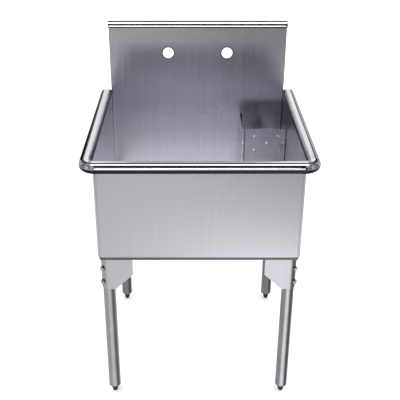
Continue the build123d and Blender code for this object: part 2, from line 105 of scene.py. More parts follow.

# %% [markdown]
# ## The camera
#
# The place, tilt and focal length were fitted to the outlines of the photograph: the rim, the
# legs and the backsplash. A small sideways shift stands for the crop.

# %% Camera
CAMERA_PLACE = (-0.02976, -2.1886, 1.70435)
LOOKS_DOWN = 27.17      # degrees
FOCAL_LENGTH = 66.07    # millimetres, for a sensor 36 mm wide
CROP_SHIFT = 0.02735    # share of the picture's width

camera_data = bpy.data.cameras.new("camera")
camera_data.lens = FOCAL_LENGTH
camera_data.sensor_width = 36.0
camera_data.shift_x = CROP_SHIFT
camera_data.clip_end = 100.0
camera = bpy.data.objects.new("camera", camera_data)
camera.location = CAMERA_PLACE
camera.rotation_euler = (radians(90 - LOOKS_DOWN), 0, 0)
bpy.context.scene.collection.objects.link(camera)
bpy.context.scene.camera = camera
print("camera", [round(v, 3) for v in camera.location])

# %% [markdown]
# ## A small language for shader maths
#
# A material is a graph of nodes. Writing each link by hand hides the idea, so a socket is wrapped
# in a class whose + - * / and a few methods add the Math nodes themselves. Colours are only mixed,
# never added or multiplied: a Math node would turn them grey.

# %% Sockets that can be added and multiplied
class Value:
    """One output of a node: a number that varies over the surface, or a colour."""

    def __init__(self, paint, socket):
        self.paint = paint
        self.socket = socket

    def _math(self, operation, *others, **settings):
        inputs = dict(enumerate((self, *others)))
        return self.paint.node("ShaderNodeMath", {"operation": operation, **settings}, inputs)[0]

    def __add__(self, other):
        return self._math("ADD", other)

    def __sub__(self, other):
        return self._math("SUBTRACT", other)

    def __mul__(self, other):
        return self._math("MULTIPLY", other)

    def __truediv__(self, other):
        return self._math("DIVIDE", other)

    def __radd__(self, other):
        return self._math("ADD", other)

    def __rmul__(self, other):
        return self._math("MULTIPLY", other)

    def __rsub__(self, other):
        return (self * -1) + other

    def __rtruediv__(self, other):
        return self.paint.node("ShaderNodeMath", {"operation": "DIVIDE"}, {0: other, 1: self})[0]

    def __neg__(self):
        return self * -1

    def __abs__(self):
        return self._math("ABSOLUTE")

    def root(self):
        return self._math("SQRT")

    def larger(self, other):
        return self._math("MAXIMUM", other)

    def step(self, low, high):
        """0 below low, 1 above high, and a straight ramp between."""
        return (self - low)._math("DIVIDE", high - low, use_clamp=True)

    def band(self, low, high, fade_in, fade_out=None):
        """1 between low and high, and 0 outside. The two edges fade inside the band."""
        fade_out = fade_out or fade_in
        return self.step(low, low + fade_in) * (1 - self.step(high - fade_out, high))


class Paint:
    """One material, with a method for any node and short names for what is used most."""

    def __init__(self, name, **constants):
        self.material = bpy.data.materials.new(name)
        self.material.use_nodes = True
        self.tree = self.material.node_tree
        self.shader = self.tree.nodes["Principled BSDF"]
        for socket, value in constants.items():
            self.shader.inputs[socket.replace("_", " ")].default_value = value
        self.place = self.node("ShaderNodeTexCoord", {}, {})["Object"]
        self.x, self.y, self.z = self.node("ShaderNodeSeparateXYZ", {}, {0: self.place})[0:3]

    def node(self, kind, settings, inputs):
        """Adds a node. Settings go on first, then each input gets its value or its link."""
        made = self.tree.nodes.new(kind)
        for name, value in settings.items():
            setattr(made, name, value)
        for name, value in inputs.items():
            if isinstance(value, Value):
                self.tree.links.new(value.socket, made.inputs[name])
            else:
                made.inputs[name].default_value = value
        return Outputs(self, made)

    def stretched(self, sizes):
        """Object coordinates divided by the sizes of one blotch along X, Y and Z, in metres."""
        inputs = {"Vector": self.place, "Scale": tuple(1 / size for size in sizes)}
        return self.node("ShaderNodeMapping", {}, inputs)["Vector"]

    def noise(self, sizes, detail=2.0):
        """Grey noise between 0 and 1 whose blotches have the given sizes in metres."""
        inputs = {"Vector": self.stretched(sizes), "Detail": detail, "Scale": 1.0}
        return self.node("ShaderNodeTexNoise", {}, inputs)["Fac"]

    def mix(self, factor, first, second):
        """Colour that runs from first to second as factor runs from 0 to 1."""
        inputs = {0: factor, 6: first, 7: second}
        return self.node("ShaderNodeMix", {"data_type": "RGBA"}, inputs)[2]

    def link(self, name, value):
        """Lets a Value drive one socket of the material's shader."""
        self.tree.links.new(value.socket, self.shader.inputs[name])

    def bump(self, height, distance):
        """Raises the surface by distance where height is 1."""
        made = self.node("ShaderNodeBump", {}, {"Height": height, "Distance": distance})
        self.link("Normal", made["Normal"])


class Outputs:
    """The outputs of one node, by name or by number."""

    def __init__(self, paint, made):
        self.paint = paint
        self.made = made

    def __getitem__(self, key):
        if isinstance(key, slice):
            return [Value(self.paint, socket) for socket in self.made.outputs[key]]
        return Value(self.paint, self.made.outputs[key])


def dress(paint, *names):
    """Gives solid pieces a finish through their material slots."""
    for name in names:
        for slot in nodes[name].material_slots:
            slot.link = "OBJECT"
            slot.material = paint.material
    print(paint.material.name, "on", ", ".join(names))


# %% [markdown]
# ## Brushed and polished steel
#
# The walls are brushed up and down. Each scratch is far finer than a pixel from where we stand,
# so what shows is a mirror that is blurred sideways: noise stretched along Z drives a bump, and
# the shader's own anisotropy does the rest of the blurring. The rolled rim is polished after
# welding, so there the grain fades out and the roughness drops. One material does both, with a
# mask that is 1 wherever the sheet bends. Other masks paint shade into the colour: the underside
# of the rim's roll near black, the rim's bends darker, and a few thin dark lines in the rear
# inside corners, at tight bends and in narrow gaps.

# %% Brushed sheet
STEEL = (0.600, 0.588, 0.640, 1)
STEEL_LIGHT = (0.660, 0.647, 0.700, 1)
# Painted shade: near black under the rim's roll.
RIM_UNDERSIDE_SHADE = (0.025, 0.024, 0.029, 1)
# Painted shade: dark grey for thin lines in corners, bends and gaps, and for the strip under the
# bowl.
LINE_SHADE = (0.16, 0.157, 0.17, 1)
# Painted shade: darker grey in the rim's bends.
BEND_SHADE = (0.27, 0.265, 0.29, 1)

SCRATCH = (0.5 * MM, 0.5 * MM, 160 * MM)  # sizes along X, Y and Z
STREAK = (9 * MM, 9 * MM, 700 * MM)
CLOUD = (180 * MM, 180 * MM, 240 * MM)
SCRATCH_DEPTH = 0.02 * MM
BRUSHED, POLISHED = 0.24, 0.05            # roughness


def brushed_sheet(name, polished=None, painted_shade_lines=None, blur=0.7):
    """Steel sheet with an upright grain. polished and painted_shade_lines make a mask from its Paint."""
    paint = Paint(name, Metallic=1.0, Anisotropic=blur)
    scratches = paint.noise(SCRATCH, 3.0)
    streaks = paint.noise(STREAK, 2.0)
    clouds = paint.noise(CLOUD, 1.0)
    grain = scratches * 0.35 + streaks * 0.4 + clouds * 0.25  # shares that add up to 1
    colour = paint.mix(grain.step(0.3, 0.7), STEEL, STEEL_LIGHT)
    # Painted shade goes into the colour here: near black under the rim's roll, thin dark lines
    # from the mask of lines, and darker bends on the rim.
    if polished:
        colour = paint.mix(rim_underside_shade(paint), colour, RIM_UNDERSIDE_SHADE)
    if painted_shade_lines:
        colour = paint.mix(painted_shade_lines(paint), colour, LINE_SHADE)
    if polished:
        colour = paint.mix(rim_bend_shade(paint), colour, BEND_SHADE)
    paint.link("Base Color", colour)
    rough = BRUSHED + (streaks - 0.5) * 0.08 + (clouds - 0.5) * 0.05
    if polished:
        mask = polished(paint)
        rough = rough * (1 - mask) + mask * POLISHED
        scratches = scratches * (1 - mask)
    paint.link("Roughness", rough)
    paint.bump(scratches, SCRATCH_DEPTH)
    return paint


# %% Masks for the rim and the walls
def outside_walls(paint):
    """How far a point lies outside the bowl's walls, in front or to either side."""
    return (abs(paint.x) - bowl_high.x).larger(bowl_low.y - paint.y)


def rim_underside_shade(paint):
    """1 on the lower half of the rim's roll, which is painted near black as shade, where it always
    turns to the dark.
    """
    below_middle = (rim_top - RIM_ROLL / 2 - paint.z).step(-2 * MM, 0.5 * MM)
    return below_middle * outside_walls(paint).step(6 * MM, 9 * MM)


def rim_bend_shade(paint):
    """1 on the inner bend of the side rims, and on a thin line where the front rim rolls over;
    there the colour is painted darker, as shade.
    """
    on_top = paint.z.step(bend_start - 1 * MM, bend_start + 1 * MM)
    beside, before = abs(paint.x) - bowl_high.x, bowl_low.y - paint.y
    sides = beside.band(-2 * MM, 7.6 * MM, 0.4 * MM, 1.2 * MM)
    front = before.band(20 * MM, 23.6 * MM, 0.6 * MM)
    return sides.larger(front) * on_top


def rim_mask(paint):
    """1 where the wall turns over into the rim, and on everything outside the walls."""
    turned_over = paint.z.step(bend_start - 2 * MM, bend_start + 2 * MM)
    return outside_walls(paint).step(0.3 * MM, 1.5 * MM).larger(turned_over)


def corner_shade_lines(paint):
    """Paints shade as a thin dark line in the two rear inside corners, below the rim."""
    at_side = abs(paint.x).step(bowl_high.x - 3.9 * MM, bowl_high.x - 3.3 * MM)
    at_rear = paint.y.step(bowl_high.y - 8.5 * MM, bowl_high.y - 7.5 * MM)
    return at_side * at_rear * (1 - paint.z.step(bend_start - 2 * MM, bend_start)) * 0.7


def splash_mask(paint):
    """1 where the backsplash rolls back."""
    return paint.z.step(splash_bend - 4 * MM, splash_bend - 1 * MM)


def splash_shade_lines(paint):
    """The corner shade lines, and a thin line of painted shade where the backsplash starts to roll
    back.
    """
    line = (paint.z - splash_bend).band(-1.9 * MM, 1.5 * MM, 0.5 * MM)
    return line.larger(corner_shade_lines(paint))


wall_steel = brushed_sheet("wall steel", rim_mask, corner_shade_lines)
splash_steel = brushed_sheet("backsplash steel", splash_mask, splash_shade_lines)
plain_sheet = brushed_sheet("plain sheet")
rim_pieces = ["rim_corner_right", "rim_corner_left", "rim_end_caps"]
brackets = [name for name in nodes if name.startswith("leg_bracket")]
dress(wall_steel, "front_wall", "left_wall", "right_wall", *rim_pieces)
dress(splash_steel, "rear_wall_backsplash", "backsplash_end_caps")
dress(plain_sheet, "corner_guard", *brackets)
dress(brushed_sheet("floor sheet", blur=0), "bowl_floor")


# %% Masks for the guard
def guard_shade_lines(paint):
    """1 in thin lines of painted shade where the guard's bends end, and in its gap beside the
    walls.
    Its inner side is painted darker too, as shade."""
    line, gap = 1.2 * MM, 2.6 * MM
    beside_bend_x = 1 - abs(paint.x - (guard_low.x + GUARD_BEND)).step(line, 1.4 * line)
    beside_bend_y = 1 - abs(paint.y - (guard_low.y + GUARD_BEND)).step(line, 1.4 * line)
    return_x = paint.x.step(guard_high.x - gap, guard_high.x - gap + 0.6 * MM)
    return_y = paint.y.step(guard_high.y - gap, guard_high.y - gap + 0.6 * MM)
    lines = beside_bend_x.larger(beside_bend_y).larger(return_x).larger(return_y)
    return lines.larger(under_skin(paint).step(0.4 * MM, 0.8 * MM) * 0.55)


def under_skin(paint):
    """How deep a point lies under the outer face of the guard, round its bend as well."""
    to_face_x = (guard_low.x + GUARD_BEND - paint.x).larger(0)
    to_face_y = (guard_low.y + GUARD_BEND - paint.y).larger(0)
    return GUARD_BEND - (to_face_x * to_face_x + to_face_y * to_face_y).root()


# %% Satin and bright steel
def plain_metal(name, colour, roughness, blotch=40 * MM, **constants):
    """Turned or drawn metal: even colour with faint clouds in its roughness."""
    paint = Paint(name, Metallic=1.0, **constants)
    clouds = paint.noise((blotch, blotch, blotch), 3.0)
    darker = tuple(0.9 * c for c in colour[:3]) + (1,)
    paint.link("Base Color", paint.mix(clouds.step(0.35, 0.65), darker, colour))
    paint.link("Roughness", roughness + (clouds - 0.5) * 0.1)
    return paint


tube_steel = plain_metal("tube steel", STEEL, 0.22, Anisotropic=0.7, Anisotropic_Rotation=0.25)
bright_steel = plain_metal("bright steel", (0.68, 0.68, 0.69, 1), 0.12, 15 * MM)
chrome = plain_metal("plated brass", (0.75, 0.75, 0.77, 1), 0.07, 15 * MM)
dress(tube_steel, *[n for n in nodes if n.startswith("leg_tube")])
small_parts = ("foot_socket", "levelling_foot", "bracket_")
dress(bright_steel, *[n for n in nodes if n.startswith(small_parts)], "drain_body", "standpipe")
dress(chrome, "drain_locknut", "slip_nut", "tailpiece")


def soft_stuff(name, colour, roughness):
    """Rubber, fibre or plastic: dull, with fine specks."""
    paint = Paint(name, Metallic=0.0)
    specks = paint.noise((2 * MM, 2 * MM, 2 * MM), 3.0)
    darker = tuple(0.8 * c for c in colour[:3]) + (1,)
    paint.link("Base Color", paint.mix(specks, darker, colour))
    paint.link("Roughness", roughness + (specks - 0.5) * 0.2)
    return paint


rubber = soft_stuff("black rubber", (0.03, 0.03, 0.03, 1), 0.6)
fibre = soft_stuff("pressed fibre", (0.36, 0.16, 0.10, 1), 0.8)
white_plastic = soft_stuff("washer plastic", (0.85, 0.85, 0.82, 1), 0.4)
dress(rubber, "drain_gasket", "standpipe_seal")
dress(fibre, "drain_friction_washer")
dress(white_plastic, "tailpiece_washer")

# %% [markdown]
# ## Softened edges
#
# No real edge is perfectly sharp: a pressed plate or a turned nut has a small radius, and that
# radius is what catches the light as a thin bright line. So each small piece is copied, its loose
# triangles are merged into whole faces, and its sharp edges are bevelled. The copy then replaces
# the piece.

# %% New pieces, and a bevelled copy
MERGE = 0.001 * MM  # points closer than this are one point
slot_of = {part["node"]: part["material_slot"] for part in frame["record"]["subparts"]}
made_pieces = []


def new_piece(name, work, paint, like):
    """Turns a bmesh into a finished piece with the given paint, riding with a node's body."""
    mesh = bpy.data.meshes.new(name)
    work.to_mesh(mesh)
    work.free()
    mesh.shade_smooth()
    mesh.set_sharp_from_angle(angle=radians(20))
    mesh.materials.append(paint.material)
    made = bpy.data.objects.new(name, mesh)
    bpy.context.scene.collection.objects.link(made)
    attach(made, body_of(nodes[like])[0])
    made_pieces.append(made)
    print(name, len(mesh.polygons), "faces")
    return made


def softened(node, width):
    """The node's mesh with whole faces instead of triangles, and its sharp edges rounded."""
    work = bmesh.new()
    work.from_mesh(nodes[node].data)
    bmesh.ops.remove_doubles(work, verts=work.verts, dist=MERGE)
    bmesh.ops.dissolve_limit(work, angle_limit=radians(1), verts=work.verts, edges=work.edges)
    bmesh.ops.bevel(
        work,
        geom=[edge for edge in work.edges if edge.calc_face_angle(0) > radians(30)],
        offset=width,
        offset_type="OFFSET",
        affect="EDGES",
        segments=2,
        profile=0.5,
        clamp_overlap=True,
        material=-1,
    )
    return work


corners = ["front_right", "front_left", "rear_right", "rear_left"]
edge_widths = {"bracket_bolts": 0.6, "bracket_washers": 0.3, "drain_locknut": 0.8, "slip_nut": 0.8}
edge_widths |= {"corner_guard": 0.35, "standpipe": 0.4}
edge_widths |= {f"leg_bracket_{corner}": 0.5 for corner in corners}
edge_widths |= {f"foot_socket_{corner}": 0.5 for corner in corners}
finish_of_slot = {"sheet_steel": plain_sheet, "bright_steel": bright_steel, "plated_brass": chrome}
dark_steel = plain_metal("dark steel", (0.10, 0.10, 0.11, 1), 0.3, 6 * MM)
# The guard's finish paints shade in thin lines and on its inner side.
guard_steel = brushed_sheet("guard steel", None, guard_shade_lines)
finish_of_node = {"bracket_washers": dark_steel, "corner_guard": guard_steel}
for node, width in edge_widths.items():
    finish = finish_of_node.get(node, finish_of_slot[slot_of[node]])
    piece = new_piece("soft_" + node, softened(node, width * MM), finish, node)
    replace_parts(piece, node)

# %% [markdown]
# ## Screw threads
#
# Each foot ends in a threaded stud. It hides in the leg until the foot is screwed out by up to 25
# mm, and then its thread shows. A thread is one small triangle carried round the axis while it
# climbs: the spin operator does exactly that when it is given a step along the axis as well as an
# angle.

# %% A thread, and the turned foot under it
# Radius and height of each point, in millimetres.
FOOT_PROFILE = [(0, 0), (5.6, 0), (6.5, 0.9), (9.8, 11.6)]
FOOT_PROFILE += [(10, 12.6), (10, 18.7), (9.0, 19.7), (5.3, 19.7)]
STUD_START, STUD_TOP, STUD_POINT = 20.0, 57.7, 1.0
STUD_THREAD = {"root": 5.1, "crest": 5.97, "pitch": 1.75}


def turned(work, profile, axis_x, axis_y, steps=48):
    """Spins a profile of (radius, height), in millimetres, about an upright axis."""
    spots = [Vector((axis_x + r * MM, axis_y, z * MM)) for r, z in profile]
    verts = [work.verts.new(spot) for spot in spots]
    edges = [work.edges.new(pair) for pair in zip(verts, verts[1:])]
    centre = Vector((axis_x, axis_y, 0))
    full = {"axis": (0, 0, 1), "angle": radians(360), "steps": steps, "use_merge": True}
    bmesh.ops.spin(work, geom=verts + edges, cent=centre, **full)
    bmesh.ops.remove_doubles(work, verts=work.verts, dist=MERGE)


def thread(work, axis_x, axis_y, start, end, root, crest, pitch, steps=24):
    """A helical ridge from start to end, in millimetres, closed at both ends."""
    turns = (end - start - pitch) / pitch
    section = [(root, start), (crest, start + pitch / 2), (root, start + pitch)]
    verts = [work.verts.new((axis_x + r * MM, axis_y, z * MM)) for r, z in section]
    first = work.faces.new(verts)
    count = int(turns * steps)
    made = bmesh.ops.spin(
        work,
        geom=verts + list(first.edges),
        cent=Vector((axis_x, axis_y, 0)),
        axis=(0, 0, 1),
        dvec=Vector((0, 0, pitch * MM / steps)),
        angle=radians(360) * count / steps,
        steps=count,
    )
    work.faces.new([item for item in made["geom_last"] if isinstance(item, bmesh.types.BMVert)])


foot_steel = plain_metal("foot steel", (0.36, 0.36, 0.38, 1), 0.18, 10 * MM)
for corner in corners:
    node = f"levelling_foot_{corner}"
    low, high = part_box(node)
    x, y = (low.x + high.x) / 2, (low.y + high.y) / 2
    work = bmesh.new()
    stud = [(5.3, STUD_TOP - STUD_POINT), (4.3, STUD_TOP), (0, STUD_TOP)]
    turned(work, FOOT_PROFILE + stud, x, y)
    thread(work, x, y, STUD_START, STUD_TOP - STUD_POINT, **STUD_THREAD)
    bmesh.ops.recalc_face_normals(work, faces=work.faces)
    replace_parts(new_piece("screw_foot_" + corner, work, foot_steel, node), node)

# %% The threads that show on the drain
drain_low, drain_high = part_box("drain_body")
drain_x, drain_y = (drain_low.x + drain_high.x) / 2, (drain_low.y + drain_high.y) / 2
NECK_LENGTH = 24.0  # from the upper face of the bowl's floor to the neck's end, in millimetres
OUTLET_SHOWN = 5.6  # how far the narrow thread shows above the slip nut
NECK_THREAD = {"root": 29.8, "crest": 30.8, "pitch": 2.0, "steps": 64}
OUTLET_THREAD = {"root": 23.8, "crest": 24.7, "pitch": 1.8, "steps": 64}
neck_end = (bowl_low.z + SHEET) / MM - NECK_LENGTH
locknut_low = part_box("drain_locknut")[0].z / MM
nut_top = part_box("slip_nut")[1].z / MM
work = bmesh.new()
thread(work, drain_x, drain_y, neck_end + 0.3, locknut_low - 0.1, **NECK_THREAD)
thread(work, drain_x, drain_y, nut_top + 0.1, nut_top + OUTLET_SHOWN, **OUTLET_THREAD)
bmesh.ops.recalc_face_normals(work, faces=work.faces)
new_piece("drain_threads", work, bright_steel, "drain_body")

# %% [markdown]
# ## Welds and punched holes
#
# The brackets are welded to the underside of the bowl, and the bead shows as a thin bright line
# above each. A bead is drawn as a row of short sections that swell and shrink a little, as the
# molten metal did when it froze. The guard's holes were punched from inside, so each has a small
# raised lip that glints.

# %% Weld beads between the brackets and the bowl
BEAD = 1.9 * MM                      # radius of the bead where it swells
RIPPLE = 1.6 * MM                    # length of one section
SWELL, SHRINK, TIP = 1.0, 0.84, 0.5  # shares of that radius along the bead and at its ends
PAST_BEND, SHORT_OF_EDGE = 22 * MM, 3 * MM  # where it starts and ends along a bracket's side
weld_steel = plain_metal("weld steel", (0.66, 0.64, 0.61, 1), 0.22, 4 * MM)


def bead(work, start, end, sides=8):
    """A rippled bead along a straight line: a disc that is extruded and scaled again and again."""
    along = end - start
    count = int(along.length / RIPPLE)
    turn = Vector((0, 0, 1)).rotation_difference(along).to_matrix()
    disc = {"cap_ends": True, "segments": sides, "radius": BEAD * TIP}
    first = bmesh.ops.create_circle(work, **disc)["verts"]
    bmesh.ops.rotate(work, verts=first, cent=(0, 0, 0), matrix=turn)
    bmesh.ops.translate(work, verts=first, vec=start)
    face = first[0].link_faces[0]
    for step in range(1, count + 1):
        face = bmesh.ops.extrude_discrete_faces(work, faces=[face])["faces"][0]
        bmesh.ops.translate(work, verts=face.verts, vec=along / count)
        centre = start + along * step / count
        share = TIP if step == count else (SHRINK, SWELL)[step % 2]
        factor = BEAD * share / (face.verts[0].co - centre).length
        place = Matrix.Translation(-centre)
        bmesh.ops.scale(work, verts=face.verts, vec=(factor, factor, factor), space=place)
    work.faces.new(first)


for corner in corners:
    low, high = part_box(f"leg_bracket_{corner}")
    right = 1 if corner.endswith("right") else -1
    rear = 1 if corner.startswith("rear") else -1
    outer_x, inner_x = (high.x, low.x) if right > 0 else (low.x, high.x)
    outer_y, inner_y = (high.y, low.y) if rear > 0 else (low.y, high.y)
    top = high.z - BEAD / 2
    start_x, end_x = outer_x - right * PAST_BEND, inner_x + right * SHORT_OF_EDGE
    start_y, end_y = outer_y - rear * PAST_BEND, inner_y + rear * SHORT_OF_EDGE
    work = bmesh.new()
    bead(work, Vector((start_x, outer_y, top)), Vector((end_x, outer_y, top)))
    bead(work, Vector((outer_x, start_y, top)), Vector((outer_x, end_y, top)))
    bmesh.ops.recalc_face_normals(work, faces=work.faces)
    new_piece("weld_" + corner, work, weld_steel, f"leg_bracket_{corner}")

# %% Raised lips round the guard's holes
HOLE_RADIUS, LIP_RADIUS, LIP_OUT = 3.2 * MM, 0.45 * MM, 0.3 * MM
FIRST_COLUMN, COLUMN_PITCH, COLUMNS = 26.0 * MM, 41.3 * MM, 3
FIRST_ROW, ROW_PITCH, ROWS = 25.4 * MM, 50.8 * MM, 4


def ring(work, centre, axis, ring_radius, wire_radius, steps, flatten=(1, 1, 1)):
    """A round wire bent into a ring about a centre; its axis is "X" or "Y"."""
    wire = bmesh.ops.create_circle(work, segments=8, radius=wire_radius)["verts"]
    bmesh.ops.rotate(work, verts=wire, matrix=Matrix.Rotation(radians(90), 3, axis))
    bmesh.ops.scale(work, verts=wire, vec=flatten)
    bmesh.ops.translate(work, verts=wire, vec=centre + Vector((0, 0, ring_radius)))
    edges = list({edge for vert in wire for edge in vert.link_edges})
    around = (1, 0, 0) if axis == "X" else (0, 1, 0)
    full = {"axis": around, "angle": radians(360), "steps": steps, "use_merge": True}
    bmesh.ops.spin(work, geom=wire + edges, cent=centre, **full)


work = bmesh.new()
for row in range(ROWS):
    for column in range(COLUMNS):
        level = guard_high.z - FIRST_ROW - (row + column % 2 / 2) * ROW_PITCH
        in_from_wall = FIRST_COLUMN + column * COLUMN_PITCH
        for axis, x, y in (
            ("Y", wall_x - in_from_wall, guard_low.y),
            ("X", guard_low.x, wall_y - in_from_wall),
        ):
            ring(work, Vector((x, y, level)), axis, HOLE_RADIUS + LIP_OUT, LIP_RADIUS, 16)
bmesh.ops.recalc_face_normals(work, faces=work.faces)
new_piece("guard_hole_lips", work, bright_steel, "corner_guard")

# %% [markdown]
# ## A strip of painted shade under the bowl, and the edges of the tap holes
#
# A narrow strip runs along the bowl's bottom edge, where walls and floor are welded. Its colour
# is painted shade, dark grey, so it shows as a thin dark line. The tap holes are punched, and the
# punch rolls their edge over a little; that edge is painted near black as shade, a thin dark ring.

# %% Bottom strip of painted shade
SHADE_STRIP_INSET, SHADE_STRIP_THICK, SHADE_STRIP_DROP, SHADE_STRIP_RISE = 3.6 * MM, 1.4 * MM, 6.6 * MM, 1.0 * MM
SHADE_STRIP_OUTER_CORNER, SHADE_STRIP_INNER_CORNER = 8 * MM, 6.5 * MM
# Painted shade: the strip's dark grey colour stands for the shade along the bowl's bottom edge.
shade_strip_steel = plain_metal("seam steel", LINE_SHADE, 0.3, 6 * MM)


def outline(inset, corner_radius, corner_steps=6):
    """Points of the bowl's outline, moved inwards by inset, with rounded corners."""
    points = []
    for side, rear, start in ((1, 1, 0), (-1, 1, 90), (-1, -1, 180), (1, -1, 270)):
        x = (bowl_high.x if side > 0 else bowl_low.x) - side * (inset + corner_radius)
        y = (bowl_high.y if rear > 0 else bowl_low.y) - rear * (inset + corner_radius)
        for step in range(corner_steps + 1):
            turn = Matrix.Rotation(radians(start + 90 * step / corner_steps), 3, "Z")
            points.append(Vector((x, y, 0)) + turn @ Vector((corner_radius, 0, 0)))
    return points


work = bmesh.new()
loops = []
for inset, corner_radius, height in (
    (SHADE_STRIP_INSET, SHADE_STRIP_OUTER_CORNER, SHADE_STRIP_RISE),
    (SHADE_STRIP_INSET, SHADE_STRIP_OUTER_CORNER, -SHADE_STRIP_DROP),
    (SHADE_STRIP_INSET + SHADE_STRIP_THICK, SHADE_STRIP_INNER_CORNER, -SHADE_STRIP_DROP),
    (SHADE_STRIP_INSET + SHADE_STRIP_THICK, SHADE_STRIP_INNER_CORNER, SHADE_STRIP_RISE),
):
    level = Vector((0, 0, bowl_low.z + height))
    loops.append([work.verts.new(point + level) for point in outline(inset, corner_radius)])
for loop, following in zip(loops, loops[1:] + loops[:1]):
    for i in range(len(loop)):
        j = (i + 1) % len(loop)
        work.faces.new((loop[i], loop[j], following[j], following[i]))
bmesh.ops.recalc_face_normals(work, faces=work.faces)
new_piece("bottom_seam", work, shade_strip_steel, "bowl_floor")

# %% Rolled edges of the tap holes
TAP_HOLE, TAP_SPACING, TAP_RISE = 38.1 * MM, 203.2 * MM, 133.5 * MM
EDGE_WIDTH, EDGE_FLATNESS = 3.0 * MM, 0.25
work = bmesh.new()
for side in (-1, 1):
    centre = Vector((side * TAP_SPACING / 2, wall_y, rim_top + TAP_RISE))
    ring_radius = (TAP_HOLE + EDGE_WIDTH) / 2
    ring(work, centre, "Y", ring_radius, EDGE_WIDTH / 2, 48, flatten=(1, EDGE_FLATNESS, 1))
bmesh.ops.recalc_face_normals(work, faces=work.faces)
# Painted shade: the rolled edges are near black.
hole_edge_shade = plain_metal("hole edge steel", (0.01, 0.01, 0.011, 1), 0.3, 6 * MM)
new_piece("tap_hole_edges", work, hole_edge_shade, "rear_wall_backsplash")

# %% [markdown]
# ## The studio
#
# Steel has no colour of its own to show: it shows the room. The bands on the polished rim say
# what room it was. A photographer hangs boards round such a product: a lit board brightens a
# face, and the dark gap between two boards draws a dark line along an edge. The boards here do
# the same. Only reflections see them, so the background stays plain and every view stays clear.

# %% Floor and daylight
def stage_board(name, corner, first_edge, second_edge):
    """A flat board, given by one corner and the two edges that leave it."""
    work = bmesh.new()
    first, second = Vector(first_edge), Vector(second_edge)
    start = Vector(corner)
    spots = [start, start + first, start + first + second, start + second]
    work.faces.new([work.verts.new(spot) for spot in spots])
    mesh = bpy.data.meshes.new(name)
    work.to_mesh(mesh)
    work.free()
    made = bpy.data.objects.new(name, mesh)
    bpy.context.scene.collection.objects.link(made)
    return made


floor = stage_board("floor", (-20, -20, 0), (40, 0, 0), (0, 40, 0))
floor_paint = Paint("pale floor", Base_Color=(0.95, 0.95, 0.95, 1), Roughness=0.9)
floor.data.materials.append(floor_paint.material)
floor.visible_glossy = False

world = bpy.data.worlds.new("studio")
bpy.context.scene.world = world
world.use_nodes = True
daylight = world.node_tree.nodes["Background"]
daylight.inputs["Color"].default_value = (0.985, 0.98, 1.0, 1)
daylight.inputs["Strength"].default_value = 1.65
world.cycles_visibility.glossy = False
bpy.context.scene.view_settings.view_transform = "Standard"
print("floor and daylight are in place")

# %% [markdown]
# ## Which pieces see which boards
#
# A product picture is often put together from several exposures, each with its own boards. Light
# linking does the same: a board can be told which pieces mirror it. So the bowl's inside, its
# outside, the side rims, the rim's corners and each leg have boards of their own.

# %% Groups of pieces
def pieces_group(name, names):
    """A collection that a board can be told to shine on; it isn't part of the scene."""
    group = bpy.data.collections.new(name)
    for piece in names:
        group.objects.link(everything[piece])
    return group


everything = {**nodes, **{piece.name: piece for piece in made_pieces}}
inside_names = ["rear_wall_backsplash", "bowl_floor"]
inside_names += ["soft_corner_guard", "guard_hole_lips", "soft_standpipe"]
outer_names = [name for name in everything if name not in inside_names]
straight_names = [name for name in outer_names if not name.startswith("rim_corner")]
side_walls = ["left_wall", "right_wall"]
leg_names = ("leg_tube", "soft_leg_bracket")

bowl_inside = pieces_group("bowl_inside", inside_names)
behind_guard = pieces_group("behind_guard", ["rear_wall_backsplash"])
outer_pieces = pieces_group("outer_pieces", outer_names)
outer_but_corners = pieces_group("outer_but_corners", straight_names)
rim_corners = pieces_group("rim_corners", ["rim_corner_left", "rim_corner_right"])
side_rims = pieces_group("side_rims", side_walls)
all_but_sides = pieces_group("all_but_sides", [n for n in everything if n not in side_walls])
all_but_legs = pieces_group("all_but_legs", [n for n in everything if not n.startswith(leg_names)])
print(len(inside_names), "pieces inside the bowl,", len(outer_names), "outside it")


# %% A board that only reflections see
def glow_board(name, corner, first_edge, second_edge, brightness, seen_in=None):
    """A see-through board that shines. brightness is a number, or makes one from its Paint.
    seen_in is the group of pieces that mirror it, or None for all of them."""
    made = stage_board(name, corner, first_edge, second_edge)
    paint = Paint(name)
    if callable(brightness):
        brightness = brightness(paint)
    shine = paint.node("ShaderNodeEmission", {}, {"Strength": brightness})[0]
    clear = paint.node("ShaderNodeBsdfTransparent", {}, {})[0]
    both = paint.node("ShaderNodeAddShader", {}, {0: shine, 1: clear})[0]
    paint.tree.links.new(both.socket, paint.tree.nodes["Material Output"].inputs["Surface"])
    made.data.materials.append(paint.material)
    made.visible_camera = False
    made.visible_diffuse = False
    made.visible_shadow = False
    if seen_in:
        made.light_linking.receiver_collection = seen_in
    return made


# %% How bright the floor is, as the steel sees it
def pool(paint, x, y, width, length):
    """1 at one spot of the floor, fading to nothing around it."""
    across = (paint.x - x) / width
    along = (paint.y - y) / length
    return 1 / (1 + across * across + along * along)


